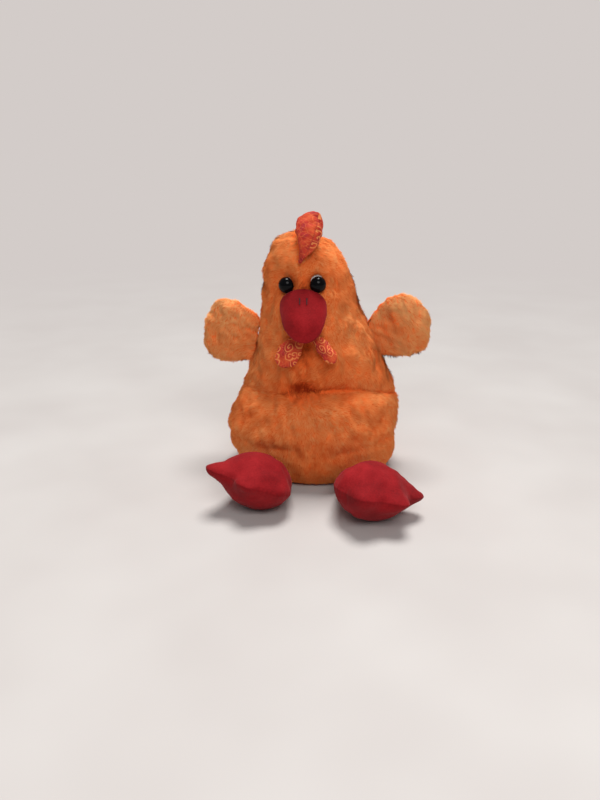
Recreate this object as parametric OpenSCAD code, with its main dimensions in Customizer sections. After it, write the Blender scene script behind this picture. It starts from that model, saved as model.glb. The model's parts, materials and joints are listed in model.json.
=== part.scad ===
// Sitting plush chicken: pile-fabric panels sewn round a stuffed body, with stuffed wings,
// feet, comb, beak and wattles. Millimetres. The floor is z = 0, the face looks along -Y and
// +X is the toy's own left. Each fabric piece is drawn at its full thickness, pile included.

/* [Body] */
// Height of the crown above the floor
body_height = 191; // [186:1:196]
// Width of the flat seat
base_width = 112; // [106:1:118]
// Depth of the flat seat
base_depth = 90; // [86:1:96]
// Width of the belly at its fullest
belly_width = 140; // [134:1:146]
// How far the belly stands in front of the body's axis
belly_front = 63; // [60:1:66]
// How far the rump stands behind the body's axis
rump_back = 58; // [54:1:62]
// Height of the fullest part of the belly
belly_level = 34; // [32:1:37]
// Width at the waist seam
waist_width = 122; // [118:1:126]
// Front of the body at the waist seam, measured from its axis
waist_front = 51; // [48:1:53]
// Back of the body at the waist seam, measured from its axis
waist_back = 53; // [50:1:56]
// Height of the waist seam at the middle of the front
waist_level = 78; // [76:1:80]
// How far the waist seam falls towards the sides
waist_fall = 9; // [6:1:12]
// Width across the chest
chest_width = 101; // [98:1:104]
// Front and back of the chest, measured from the body's axis
chest_reach = 47; // [45:1:49]
// Height of the chest
chest_level = 100; // [98:1:103]
// Width of the head below the beak
cheek_width = 85; // [82:1:88]
// Front and back of the head below the beak
cheek_reach = 41; // [39:1:43]
// Height of that width
cheek_level = 127; // [124:1:130]
// Width of the head where its dome begins
crown_width = 69; // [66:1:72]
// Front and back of the head where its dome begins
crown_reach = 36; // [34:1:38]
// Height where the dome begins
crown_level = 155; // [152:1:158]
// How far the head leans to the toy's right
head_lean = 7; // [4:1:9]
// How far the waist leans to the toy's left
waist_lean = 3; // [1:1:4]
// Angle that the face turns to the toy's right
face_turn = 6.8; // [4:0.2:9]

/* [Fabric] */
// Thickness of the orange pile fabric, pile included
plush_t = 4; // [3:0.25:4.5]
// Thickness of the red velour
velour_t = 1.6; // [1.2:0.1:2]
// Thickness of the printed cotton
cotton_t = 1; // [0.8:0.1:1.4]
// Opening left along each seam and between the layers
seam_gap = 0.3; // [0.2:0.05:0.4]
// Depth of the fold along the waist seam
fold_depth = 5; // [3:0.5:6]
// Radius of the sewing thread
thread_r = 0.35; // [0.2:0.05:0.5]

/* [Wings] */
// Length of a wing from its seam to its tip
wing_length = 45; // [42:1:48]
// Height of a wing across its widest part
wing_height = 55; // [50:1:58]
// Height of a wing where it leaves the body
wing_root = 32; // [29:1:35]
// Thickness of a wing
wing_thick = 23; // [19:1:25]
// Height of the middle of the wing seams
wing_level = 107; // [105:1:109]
// Angle that the toy's right wing hangs back
right_wing_back = 22; // [16:1:26]
// Angle that the toy's left wing hangs back
left_wing_back = 4; // [0:1:8]

/* [Feet] */
// Radius of the padded part of a foot
foot_r = 25; // [24:1:26]
// Distance from the right foot's seam to the middle of its pad
right_foot_reach = 29; // [27:1:31]
// Distance from the left foot's seam to the middle of its pad
left_foot_reach = 40; // [38:1:41]
// Width of a foot along its seam
heel_width = 28; // [26:1:30]
// How far each toe stands out of the pad
toe_length = 11; // [9:1:12]
// Angle between neighbouring toes
toe_spread = 52; // [48:1:56]
// Height of the pad above its seam
foot_top = 19; // [17:1:20]
// Depth of the pad below its seam
foot_sole = 21; // [19:1:22]
// Direction of the toy's right foot, measured from straight ahead
right_foot_turn = -22; // [-25:1:-19]
// Direction of the toy's left foot, measured from straight ahead
left_foot_turn = 2; // [-1:1:5]
// Turn of the right foot's toes round its pad
right_toe_turn = 6; // [3:1:9]
// Turn of the left foot's toes round its pad
left_toe_turn = 38; // [35:1:41]
// Angle that the right foot's toes point up
right_foot_pitch = 18; // [15:1:20]
// Angle that the left foot's toes point up
left_foot_pitch = 11; // [8:1:13]
// Angle that the right foot's outer toe is rolled up
right_foot_roll = 13; // [10:1:16]
// Angle that the left foot's outer toe is rolled up
left_foot_roll = -9; // [-12:1:-6]
// Place of the right foot's seam round the body
right_foot_place = -29; // [-32:1:-26]
// Place of the left foot's seam round the body
left_foot_place = 31; // [28:1:34]

/* [Face] */
// Diameter of the plastic eyes
eye_d = 12; // [10:0.5:12.5]
// How far an eye's dome stands off its flange
eye_dome = 5; // [4:0.25:5.5]
// Distance between the middles of the eyes, round the face
eye_spacing = 24; // [23:0.1:26]
// Height of the eyes
eye_level = 156.5; // [155.5:0.5:159]
// Radius of an eye's post
post_r = 1.6; // [1.4:0.1:2]
// Radius of the washer that locks an eye
washer_r = 6; // [5:0.5:7]
// Thickness of that washer
washer_t = 1.2; // [1:0.1:1.6]
// Width of the beak where it joins the face
beak_width = 34; // [31:1:36]
// Height of the beak above its seam, at the face
beak_rise = 13.5; // [12:0.5:14]
// Depth of the beak below its seam, at the face
beak_fall = 12; // [10:0.5:13]
// Length of the beak
beak_length = 29; // [26:1:31]
// Height of the beak's seam at the face
beak_level = 139; // [137:0.5:140]
// Angle that the beak points below level
beak_droop = 38; // [32:1:42]
// Distance between the two nostril stitches
nostril_gap = 5.3; // [4.5:0.1:6]
// Length of a nostril stitch
nostril_length = 3.5; // [3:0.1:4]

/* [Comb] */
// Height of the comb's front end
comb_level = 167; // [166:1:169]
// Length of the comb along its base
comb_length = 42; // [38:1:44]
// How far the comb stands off the head
comb_height = 21; // [19:1:23]
// Thickness of the comb
comb_thick = 12; // [10:0.5:13]
// Angle that the comb flops to the toy's left
comb_flop = 36; // [30:1:40]

/* [Wattles] */
// Height of the wattles' seam
wattle_level = 119; // [118:0.5:120]
// Width of a wattle at its seam
wattle_root = 9; // [8:0.5:10]
// Angle that the wattles hang away from the chest
wattle_hang = 13; // [11:1:16]
// Thickness of a wattle
wattle_thick = 7; // [6:0.5:8]
// Length of the right wattle
right_wattle_length = 27; // [24:1:28]
// Width of the right wattle
right_wattle_width = 20; // [18:1:21]
// Angle of the right wattle from straight down
right_wattle_angle = -30; // [-34:1:-26]
// Length of the left wattle
left_wattle_length = 25; // [22:1:27]
// Width of the left wattle
left_wattle_width = 16; // [14:1:17]
// Angle of the left wattle from straight down
left_wattle_angle = 38; // [34:1:42]

/* [Weight bag] */
// Diameter of a pellet
pellet_d = 5; // [4.5:0.1:5.2]
// Rings of pellets round the middle one
pellet_rings = 4; // [3:1:4]
// Thickness of the bag's cloth
bag_t = 0.8; // [0.6:0.1:1.2]

/* [Hidden] */

ORANGE = "#f08030";
CRIMSON = "#b02030";
PRINT = "#d8452c";
FIBRE = "#f4f1ea";

$fn = 48;
LEFT = 1;                // side of the toy: +X
RIGHT = -1;              // and -X
STEP_A = 9;              // degrees between the columns of a body panel
ROWS = 9;                // rows of a face or belly panel
BACK_ROWS = 16;          // rows of a back panel and of the body's stuffing
DOME_ROWS = 5;           // rows of a cushion from its seam to its middle
POLE_R = 1.5;            // radius of the pinhole where the crown's seams meet
ROOT_THIN = 0.3;         // share of a cushion's thickness left at its hinge seam
FOLD_REACH = 7;          // distance over which the waist's fold fades
PINCH_REACH = 18;        // the same for the stuffing behind it, which is pinched wider
PINCH_MORE = 3;          // and this much deeper
TOP_LEAN = 0.6;          // share of the head's lean added by its dome
BELLY_TURN = 0.35;       // share of the face's turn that the belly seam has
WING_WIDEST = 0.5;       // where a wing is widest, as a share of its length
WATTLE_WIDEST = 0.62;    // the same for a wattle
COMB_PEAK = 0.3;         // how far the comb's peak lies behind its middle, as a share of its length
COMB_HEART = 0.3;        // height of the comb's thickest point, as a share of its height
TOE_ANGLE = 18;          // degrees over which a toe's side falls into the pad
BEAK_END = 0.97;         // how far towards the tip the beak's panels reach

// ---- small helpers -------------------------------------------------------------------------

function mix(a, b, t) = a + (b - a) * t;
function unit(v) = v / norm(v);
function ease(t) = let (c = min(1, max(0, t))) c * c * (3 - 2 * c);
function flat(lists) = [for (l = lists) each l];
function steps(n) = [for (i = [0 : n]) i / n];
// A frame is [origin, U, V, W]; a point [u, v, w] of it in space
function place(f, p) = f[0] + p[0] * f[1] + p[1] * f[2] + p[2] * f[3];

// Stands its children at p with their Z axis along n
module aim(p, n) {
    translate(p) rotate([0, acos(n[2] / norm(n)), atan2(n[1], n[0])]) children();
}

module rod(a, b, r) {
    aim(a, b - a) cylinder(h = norm(b - a), r = r, $fn = 16);
}

// ---- the body's surface --------------------------------------------------------------------

dome = body_height - crown_level;
waist_side = waist_level - waist_fall / 2;

// Height, lean, half width, front and back of the body's cross-sections
SECTIONS = [
    [belly_level, 0, belly_width / 2, belly_front, rump_back],
    [waist_side, waist_lean, waist_width / 2, waist_front, waist_back],
    [chest_level, waist_lean / 2, chest_width / 2, chest_reach, chest_reach],
    [cheek_level, -head_lean / 2, cheek_width / 2, cheek_reach, cheek_reach],
    [crown_level, -head_lean, crown_width / 2, crown_reach, crown_reach]];
TOP = len(SECTIONS) - 1;

function slope(k) = k == 0 || k == TOP ? SECTIONS[k] * 0
    : (SECTIONS[k + 1] - SECTIONS[k - 1]) / (SECTIONS[k + 1][0] - SECTIONS[k - 1][0]);

// Smooth section at height z between the belly and the crown
function between(z) = let (
    k = max([for (i = [0 : TOP - 1]) if (i == 0 || z >= SECTIONS[i][0]) i]),
    a = SECTIONS[k], b = SECTIONS[k + 1], h = b[0] - a[0], t = (z - a[0]) / h)
    a * (1 + 2 * t) * (1 - t) * (1 - t) + b * t * t * (3 - 2 * t)
    + slope(k) * h * t * (1 - t) * (1 - t) - slope(k + 1) * h * t * t * (1 - t);

// Rows of the surface run from the seat (v = 0) by the belly (1) and crown (2) to the top (3)
function level(v) = v < 1 ? belly_level * (1 - cos(90 * v))
    : v < 2 ? mix(belly_level, crown_level, v - 1)
    : crown_level + dome * sin(90 * (v - 2));
function row_at(z) = z < belly_level ? acos(1 - z / belly_level) / 90
    : z < crown_level ? 1 + (z - belly_level) / (crown_level - belly_level)
    : 2 + asin(min(1, (z - crown_level) / dome)) / 90;
function section(v) = v < 1
    ? mix([0, 0, base_width / 2, base_depth / 2, base_depth / 2], SECTIONS[0], sin(90 * v))
    : v < 2 ? between(level(v))
    : [0, -head_lean * (1 + TOP_LEAN * sin(90 * (v - 2))), SECTIONS[TOP][2] * cos(90 * (v - 2)),
       SECTIONS[TOP][3] * cos(90 * (v - 2)), SECTIONS[TOP][4] * cos(90 * (v - 2))];

function waist_z(a) = waist_level - waist_fall * (1 - cos(a));
function fold(a, z) = let (d = (z - waist_z(a)) / FOLD_REACH)
    fold_depth * max(0, cos(a)) * exp(-d * d);

// Point of the surface at azimuth a (0 is the front, 90 the toy's left) and row v, pulled in by f
function pulled(a, v, f) = let (s = section(v), depth = cos(a) > 0 ? s[3] : s[4])
    [s[1] + (s[2] - f) * sin(a), -(depth - f) * cos(a), level(v)];
function skin(a, v) = pulled(a, v, fold(a, level(v)));
function normal(a, v) = let (lo = max(0, v - 0.01), hi = min(2.99, v + 0.01))
    unit(cross(skin(a + 1, v) - skin(a - 1, v), skin(a, hi) - skin(a, lo)));
function under(a, v, depth) = skin(a, v) - depth * normal(a, v);

// The front seam turns with the face
function face_a(z) =
    -face_turn * mix(BELLY_TURN, 1, ease((z - waist_level) / (cheek_level - waist_level)));
// Half of the seam's opening as an angle, on a section of half size r
function open_a(r) = asin(min(1, seam_gap / 2 / r));

// ---- solids from rows of points ------------------------------------------------------------

// Triangles between neighbouring rows of n points; closed rows join their ends
function strip(rows, n, closed, first, out) = [
    for (i = [0 : rows - 2], j = [0 : n - (closed ? 1 : 2)]) let (
        a = first + i * n + j, d = first + i * n + (j + 1) % n, b = a + n, c = d + n)
        each out ? [[a, b, c], [a, c, d]] : [[a, c, b], [a, d, c]]];
// Wall from each edge of a loop of points to the same points shift places on
function wall(loop, shift) = [for (i = [0 : len(loop) - 1])
    let (p = loop[i], q = loop[(i + 1) % len(loop)])
        each [[p, q, q + shift], [p, q + shift, p + shift]]];
// Triangles from a row of n points to one point
function fan(first, n, tip, out) = [for (j = [0 : n - 1])
    let (a = first + j, b = first + (j + 1) % n) out ? [a, tip, b] : [b, tip, a]];

// Sheet between two grids, open along its four edges
module sheet(outer, inner) {
    m = len(outer);
    n = len(outer[0]);
    loop = concat([for (j = [0 : n - 1]) j], [for (i = [1 : m - 1]) i * n + n - 1],
                  [for (j = [n - 2 : -1 : 0]) (m - 1) * n + j], [for (i = [m - 2 : -1 : 1]) i * n]);
    polyhedron(concat(flat(outer), flat(inner)),
               concat(strip(m, n, false, 0, true), strip(m, n, false, m * n, false),
                      wall(loop, m * n)));
}

// Domed sheet: rows are closed rings, each grid ends in its own top point
module cap(outer, inner, outer_tip, inner_tip) {
    m = len(outer);
    n = len(outer[0]);
    shift = m * n + 1;
    polyhedron(concat(flat(outer), [outer_tip], flat(inner), [inner_tip]),
               concat(strip(m, n, true, 0, true), fan((m - 1) * n, n, m * n, true),
                      strip(m, n, true, shift, false),
                      fan(shift + (m - 1) * n, n, shift + m * n, false),
                      wall([for (j = [0 : n - 1]) j], shift)));
}

// Solid through closed rings with a point at each end
module lump(rings, first_tip, last_tip) {
    m = len(rings);
    n = len(rings[0]);
    polyhedron(concat(flat(rings), [first_tip, last_tip]),
               concat(strip(m, n, true, 0, true), fan(0, n, m * n, false),
                      fan((m - 1) * n, n, m * n + 1, true)));
}

// ---- body panels ---------------------------------------------------------------------------

last_row = 2 + acos(POLE_R / (crown_width / 2)) / 90;

// Front panel between rows given at each azimuth by from(a) and to(a); side sets which half
module front_panel(side, upper) {
    columns = round(90 / STEP_A);
    grid = function (depth) [for (t = steps(ROWS)) [for (s = steps(columns)) let (
        near = side == LEFT ? s : 1 - s,
        rough = side * 90 * near,
        v0 = upper ? row_at(waist_z(rough) + seam_gap / 2) : 0,
        v1 = upper ? last_row : row_at(waist_z(rough) - seam_gap / 2),
        v = mix(v0, v1, t),
        sec = section(v),
        middle = face_a(level(v)) + side * open_a(sec[2]),
        edge = side * (90 - open_a(sec[3])))
        under(mix(middle, edge, near), v, depth)]];
    sheet(grid(0), grid(plush_t));
}

module back_panel(side) {
    columns = round(90 / STEP_A);
    grid = function (depth) [for (t = steps(BACK_ROWS)) [for (s = steps(columns)) let (
        near = side == LEFT ? s : 1 - s,
        v = last_row * t,
        sec = section(v),
        edge = side * (90 + open_a(sec[4])),
        middle = side * (180 - open_a(sec[2])))
        under(mix(edge, middle, near), v, depth)]];
    sheet(grid(0), grid(plush_t));
}

module left_face_panel() color(ORANGE) eye_hole(LEFT) front_panel(LEFT, true);
module right_face_panel() color(ORANGE) eye_hole(RIGHT) front_panel(RIGHT, true);
module left_belly_panel() color(ORANGE) front_panel(LEFT, false);
module right_belly_panel() color(ORANGE) front_panel(RIGHT, false);
module left_back_panel() color(ORANGE) back_panel(LEFT);
module right_back_panel() color(ORANGE) back_panel(RIGHT);

module base_panel() {
    half = [base_width / 2 - seam_gap, base_depth / 2 - seam_gap];
    color(ORANGE) linear_extrude(plush_t)
        polygon([for (a = [0 : STEP_A : 351]) [half[0] * cos(a), half[1] * sin(a)]]);
}

module body_stuffing() {
    depth = plush_t + 2 * seam_gap;
    pinch = function (a, z) let (d = (z - waist_z(a)) / PINCH_REACH)
        (fold_depth + PINCH_MORE) * max(0, cos(a)) * exp(-d * d) - fold(a, z);
    rings = [for (t = steps(BACK_ROWS)) [for (a = [0 : STEP_A : 351]) let (v = last_row * t)
        under(a, v, depth) + pulled(a, v, pinch(a, level(v))) - pulled(a, v, 0)]];
    lean = section(last_row)[1];
    color(FIBRE) difference() {
        lump(rings, [0, 0, depth], [lean, 0, body_height - depth]);
        at_bag() translate([0, 0, -1])
            cylinder(h = bag_height + 1 + seam_gap, r = bag_r + seam_gap);
        for (side = [LEFT, RIGHT])
            at_eye(side) translate([0, 0, -post_end(side) - seam_gap])
                cylinder(h = post_end(side), r = washer_r + seam_gap);
    }
}

// Ladder stitches that close the back seam
module closing_stitches() {
    count = 9;
    pitch = 4;
    half = 1.4;
    color("#e06c20") for (i = [0 : count - 1]) {
        v = row_at(belly_level + 4 + i * pitch);
        a = asin(half / section(v)[2]);
        out = thread_r + seam_gap / 3;
        rod(under(180 - a, v, -out), under(180 + a, v, -out), thread_r);
    }
}

// ---- weight bag ----------------------------------------------------------------------------

pellet_pitch = pellet_d + 0.2;
bag_r = pellet_rings * pellet_pitch + pellet_d / 2 + bag_t + 0.3;
layer_rise = pellet_pitch * sqrt(2 / 3);
bag_height = pellet_d + layer_rise + 2 * bag_t + 0.4;

module at_bag() translate([0, 0, plush_t + seam_gap]) children();

module pellet_bag() {
    color("#e9e4d6") at_bag() difference() {
        cylinder(h = bag_height, r = bag_r);
        translate([0, 0, bag_t]) cylinder(h = bag_height - 2 * bag_t, r = bag_r - bag_t);
    }
}

module pellets() {
    color("#d9dde0") at_bag() for (layer = [0, 1]) {
        rings = pellet_rings - layer;
        shift = layer * pellet_pitch / 2;
        for (i = [-rings : rings], j = [-rings : rings]) if (abs(i + j) <= rings)
            translate([(i + j / 2) * pellet_pitch + shift,
                       j * pellet_pitch * sqrt(3) / 2 + shift / sqrt(3),
                       bag_t + 0.2 + pellet_d / 2 + layer * layer_rise])
                sphere(d = pellet_d, $fn = 24);
    }
}

// ---- eyes ----------------------------------------------------------------------------------

pile = plush_t * 0.4;                 // depth that an eye sinks into the pile

function eye_a(side) = face_a(eye_level) + side * asin(eye_spacing / 2 / (crown_width / 2));

// A flat washer lies as deep as the deepest place of the curved cloth under it
function washer_depth(side) = let (
    a = eye_a(side), v = row_at(eye_level), o = skin(a, v), n = normal(a, v),
    reach = washer_r + seam_gap, turn = 2 * asin(min(1, reach / crown_reach)))
    2 * seam_gap + max([for (i = [-1 : 0.125 : 1], j = [-1 : 0.125 : 1]) let (
        p = under(a + turn * i, row_at(eye_level + 2 * reach * j), plush_t) - o, depth = -p * n)
        if (norm(p + depth * n) <= reach) depth]);
function post_end(side) = washer_depth(side) + washer_t + 1;

module at_eye(side) {
    v = row_at(eye_level);
    aim(skin(eye_a(side), v), normal(eye_a(side), v)) children();
}

// Seat in the pile and post hole, cut from the panel that carries the eye
module eye_hole(side) {
    difference() {
        children();
        at_eye(side) translate([0, 0, -pile]) cylinder(h = 3 * pile, d = eye_d + 2 * seam_gap);
        at_eye(side) translate([0, 0, -2 * plush_t]) cylinder(h = 3 * plush_t, r = post_r + 0.1);
    }
}

module eye(side) {
    flange = 0.8;
    ball = (eye_d * eye_d / 4 + eye_dome * eye_dome) / (2 * eye_dome);
    reach = asin(eye_d / 2 / ball);
    color("#0b0b0c") at_eye(side) translate([0, 0, -pile + seam_gap / 2]) rotate_extrude()
        polygon(concat([[0, pile - post_end(side)], [post_r, pile - post_end(side)], [post_r, 0],
                        [eye_d / 2, 0]],
                       [for (t = steps(10)) [ball * sin(reach * (1 - t)),
                                             flange + eye_dome - ball * (1 - cos(reach * (1 - t)))]]));
}

module eye_washer(side) {
    color("#e8e8e8") at_eye(side) translate([0, 0, -washer_depth(side) - washer_t])
        difference() {
            cylinder(h = washer_t, r = washer_r);
            translate([0, 0, -1]) cylinder(h = washer_t + 2, r = post_r + 0.1);
        }
}

module left_eye() eye(LEFT);
module right_eye() eye(RIGHT);
module left_eye_washer() eye_washer(LEFT);
module right_eye_washer() eye_washer(RIGHT);

// ---- beak ----------------------------------------------------------------------------------

beak_a = face_a(beak_level);
beak_root = skin(beak_a, row_at(beak_level));
beak_dir = [0, -cos(beak_droop), -sin(beak_droop)];

// Point of the face in front of the place x, z, held off it by depth
function face_point(x, z, depth) = let (v = row_at(z), s = section(v))
    under(asin((x - s[1]) / s[2]), v, -depth);

// Point of the beak at angle q round it and distance t towards its tip, inset by depth
function beak_point(q, t, depth) = let (
    wide = beak_width / 2 - depth, tall = (q < 180 ? beak_rise : beak_fall) - depth,
    rim = face_point(beak_root[0] + wide * cos(q), beak_level + tall * sin(q), 2 * seam_gap))
    beak_root + (rim - beak_root) * cos(90 * t)
    + beak_dir * (beak_length - depth) * sin(90 * t);
function beak_normal(q, t) = unit(cross(beak_point(q + 1, t, 0) - beak_point(q - 1, t, 0),
                                        beak_point(q, t + 0.01, 0) - beak_point(q, t - 0.01, 0)));

module beak_panel(first) {
    rows = 7;
    columns = 12;
    grid = function (depth) [for (t = steps(rows)) [for (s = steps(columns)) let (
        part = BEAK_END * t,
        open = open_a((beak_width / 2 - depth) * cos(90 * part)))
        beak_point(mix(first + open, first + 180 - open, s), part, depth)]];
    sheet(grid(0), grid(velour_t));
}

module beak_top_panel() color(CRIMSON) beak_panel(0);
module beak_under_panel() color(CRIMSON) beak_panel(180);

module beak_stuffing() {
    depth = velour_t + seam_gap;
    rows = 6;
    around = [0 : 15 : 345];
    seat = [for (k = [0.3, 0.65]) [for (q = around)
        face_point(beak_root[0] + k * (beak_width / 2 - depth) * cos(q),
                   beak_level + k * ((q < 180 ? beak_rise : beak_fall) - depth) * sin(q),
                   2 * seam_gap)]];
    rings = [for (t = steps(rows)) [for (q = around) beak_point(q, BEAK_END * t, depth)]];
    color(FIBRE) lump(concat(seat, rings), face_point(beak_root[0], beak_level, 2 * seam_gap),
                      beak_root + beak_dir * (beak_length - depth));
}

module nostril_stitches() {
    t = 0.24;
    half = nostril_length / 2;
    lift = thread_r + seam_gap / 3;
    color("#3c0810") for (side = [LEFT, RIGHT]) {
        q = 90 - side * asin(nostril_gap / beak_width);
        n = beak_normal(q, t);
        p = beak_point(q, t, 0);
        along = unit(beak_point(q, t + 0.02, 0) - p);
        rod(p + n * lift - along * half, p + n * lift + along * half, thread_r);
    }
}

// ---- stuffed limbs and trimmings -----------------------------------------------------------

// A cushion is [frame, outline, middle, height above the seam, depth below it, fade, cloth].
// Its U axis points away from its hinge seam, its V axis lies along that seam, and it thins
// towards the seam over the distance fade.

function thin(u, fade) = mix(ROOT_THIN, 1, ease(u / fade));
function shrink(outline, middle, depth) = [for (p = outline) p - unit(p - middle) * depth];

// Rings of one face of a cushion, on side 1 (above the seam) or -1 (below it)
function rings(c, side, depth, lift) = let (
    edge = shrink(c[1], c[2], depth), high = c[side > 0 ? 3 : 4] - depth)
    [for (k = [0 : DOME_ROWS - 1]) [for (e = edge) let (
        p = c[2] + (e - c[2]) * cos(90 * k / DOME_ROWS))
        place(c[0], [p[0], p[1], side * (lift + high * sin(90 * k / DOME_ROWS)
                                                     * thin(p[0], c[5]))])]];
function tip(c, side, depth, lift) = place(c[0], [c[2][0], c[2][1],
    side * (lift + (c[side > 0 ? 3 : 4] - depth) * thin(c[2][0], c[5]))]);
function turned(rows) = [for (r = rows) [for (i = [len(r) - 1 : -1 : 0]) r[i]]];

module cushion_panel(c, side) {
    lift = seam_gap / 2;
    outer = rings(c, side, 0, lift);
    inner = rings(c, side, c[6], lift);
    cap(side > 0 ? outer : turned(outer), side > 0 ? inner : turned(inner),
        tip(c, side, 0, lift), tip(c, side, c[6], lift));
}

module cushion_stuffing(c) {
    depth = c[6] + seam_gap;
    above = rings(c, 1, depth, 0);
    below = rings(c, -1, depth, 0);
    lump(concat([for (k = [DOME_ROWS - 1 : -1 : 1]) below[k]], above),
         tip(c, -1, depth, 0), tip(c, 1, depth, 0));
}

// Paddle outline: a straight root at u = 0, widest at u = widest, with a round end
function paddle(length, root, width, widest) = let (
    side = [for (t = [0.25 : 0.25 : 1]) [mix(widest, seam_gap / 2, t),
                                        mix(width, root, 1 - cos(90 * t)) / 2]])
    concat([for (t = [-90 : 15 : 90]) [widest + (length - widest) * cos(t), width / 2 * sin(t)]],
           side,
           [for (t = [0.5, 0, -0.5]) [seam_gap / 2, root / 2 * t]],
           [for (i = [len(side) - 1 : -1 : 0]) [side[i][0], -side[i][1]]]);

// ---- wings ---------------------------------------------------------------------------------

function wing(side) = let (
    a = skin(side * 90, row_at(wing_level - wing_root / 2)),
    b = skin(side * 90, row_at(wing_level + wing_root / 2)),
    m = skin(side * 90, row_at(wing_level)),
    axis = unit(b - a),
    out = unit(cross([0, side, 0], axis)),
    stand = max(0, (m - a) * out) + 2 * seam_gap,
    back = side == LEFT ? left_wing_back : right_wing_back,
    u = out * cos(back) + [0, sin(back), 0],
    v = side * axis,
    widest = wing_length * WING_WIDEST)
    [[(a + b) / 2 + out * stand, u, v, cross(u, v)],
     paddle(wing_length, wing_root, wing_height, widest), [widest, 0],
     wing_thick / 2, wing_thick / 2, widest, plush_t];

module left_wing_front() color(ORANGE) cushion_panel(wing(LEFT), 1);
module left_wing_back() color(ORANGE) cushion_panel(wing(LEFT), -1);
module left_wing_stuffing() color(FIBRE) cushion_stuffing(wing(LEFT));
module right_wing_front() color(ORANGE) cushion_panel(wing(RIGHT), 1);
module right_wing_back() color(ORANGE) cushion_panel(wing(RIGHT), -1);
module right_wing_stuffing() color(FIBRE) cushion_stuffing(wing(RIGHT));

// ---- feet ----------------------------------------------------------------------------------

heel_half = heel_width / 2;

// Round pad with three toes, tapering to the hinge seam in tangents that leave it at tangent_a
function foot_outline(reach, toe_turn) = let (
    corner_a = 180 - atan2(heel_half, reach),
    tangent_a = corner_a - acos(foot_r / norm([reach, heel_half])))
    [for (q = [-177 : 6 : 177]) let (
        a = abs(q),
        toes = [for (i = [-1 : 1]) let (d = (q - toe_turn - i * toe_spread) / TOE_ANGLE)
            toe_length * exp(-d * d)],
        pad = a <= tangent_a ? foot_r
            : a < corner_a ? foot_r / cos(a - tangent_a)
            : (reach - seam_gap / 2) / -cos(a),
        r = pad + toes[0] + toes[1] + toes[2])
        [reach + r * cos(q), r * sin(q)]];

function foot(side) = let (
    reach = side == LEFT ? left_foot_reach : right_foot_reach,
    turn = side == LEFT ? left_foot_turn : right_foot_turn,
    toe_turn = side == LEFT ? left_toe_turn : right_toe_turn,
    pitch = side == LEFT ? left_foot_pitch : right_foot_pitch,
    roll = side * (side == LEFT ? left_foot_roll : right_foot_roll),
    round = side == LEFT ? left_foot_place : right_foot_place,
    ahead = [sin(turn), -cos(turn), 0],
    across = [cos(turn), sin(turn), 0],
    u = ahead * cos(pitch) + [0, 0, sin(pitch)],
    rise = cross(u, across),
    v = across * cos(roll) + rise * sin(roll),
    loose = [[[0, 0, 0], u, v, cross(u, v)], foot_outline(reach, toe_turn), [reach, 0],
             foot_top, foot_sole, reach, velour_t],
    low = min([for (ring = rings(loose, -1, 0, seam_gap / 2)) for (p = ring) p[2]]),
    heel = skin(round, row_at(-low)),
    out = normal(round, row_at(-low)),
    stand = seam_gap + 0.78 * heel_half * sqrt(1 - pow(unit([out[0], out[1], 0]) * ahead, 2)),
    root = heel + ahead * stand - [0, 0, heel[2] + low])
    concat([[root, u, v, cross(u, v)]], [for (i = [1 : 6]) loose[i]]);
module left_foot_top() color(CRIMSON) cushion_panel(foot(LEFT), 1);
module left_foot_sole() color(CRIMSON) cushion_panel(foot(LEFT), -1);
module left_foot_stuffing() color(FIBRE) cushion_stuffing(foot(LEFT));
module right_foot_top() color(CRIMSON) cushion_panel(foot(RIGHT), 1);
module right_foot_sole() color(CRIMSON) cushion_panel(foot(RIGHT), -1);
module right_foot_stuffing() color(FIBRE) cushion_stuffing(foot(RIGHT));

// ---- comb ----------------------------------------------------------------------------------

comb_row_0 = row_at(comb_level);
comb_row_1 = comb_row_0 + comb_length / (PI * (crown_reach + dome) / 4);
comb_row_m = (comb_row_0 + comb_row_1) / 2;

function comb() = let (
    a = -face_turn,
    n = normal(a, comb_row_m),
    o = skin(a, comb_row_m) + n * 2 * seam_gap,
    side_way = unit(cross(n, skin(a, comb_row_m) - skin(a, comb_row_m + 0.02))),
    front = cross(side_way, n),
    u = n * cos(comb_flop) + side_way * sin(comb_flop),
    base = [for (t = steps(8)) let (
        p = skin(a, min(last_row, mix(comb_row_0, comb_row_1, t))) - o)
        [p * n + 2 * seam_gap, p * front]],
    peak = [comb_height, -COMB_PEAK * comb_length],
    first = base[0],
    last = base[8],
    back = [for (t = [0.25 : 0.25 : 0.75]) [mix(last[0], peak[0], sin(90 * t)),
                                           mix(last[1], peak[1], 1 - cos(90 * t))]],
    fore = [for (t = [0 : 0.125 : 0.9]) [mix(peak[0], first[0], 1 - cos(90 * t)),
                                        mix(peak[1], first[1], sin(90 * t))]])
    [[o, u, front, cross(u, front)], concat(base, back, fore),
     [comb_height * COMB_HEART, 0], comb_thick / 2, comb_thick / 2, comb_height / 2, cotton_t];

module comb_left_panel() color(PRINT) cushion_panel(comb(), 1);
module comb_right_panel() color(PRINT) cushion_panel(comb(), -1);
module comb_stuffing() color(FIBRE) cushion_stuffing(comb());

// ---- wattles -------------------------------------------------------------------------------

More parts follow.
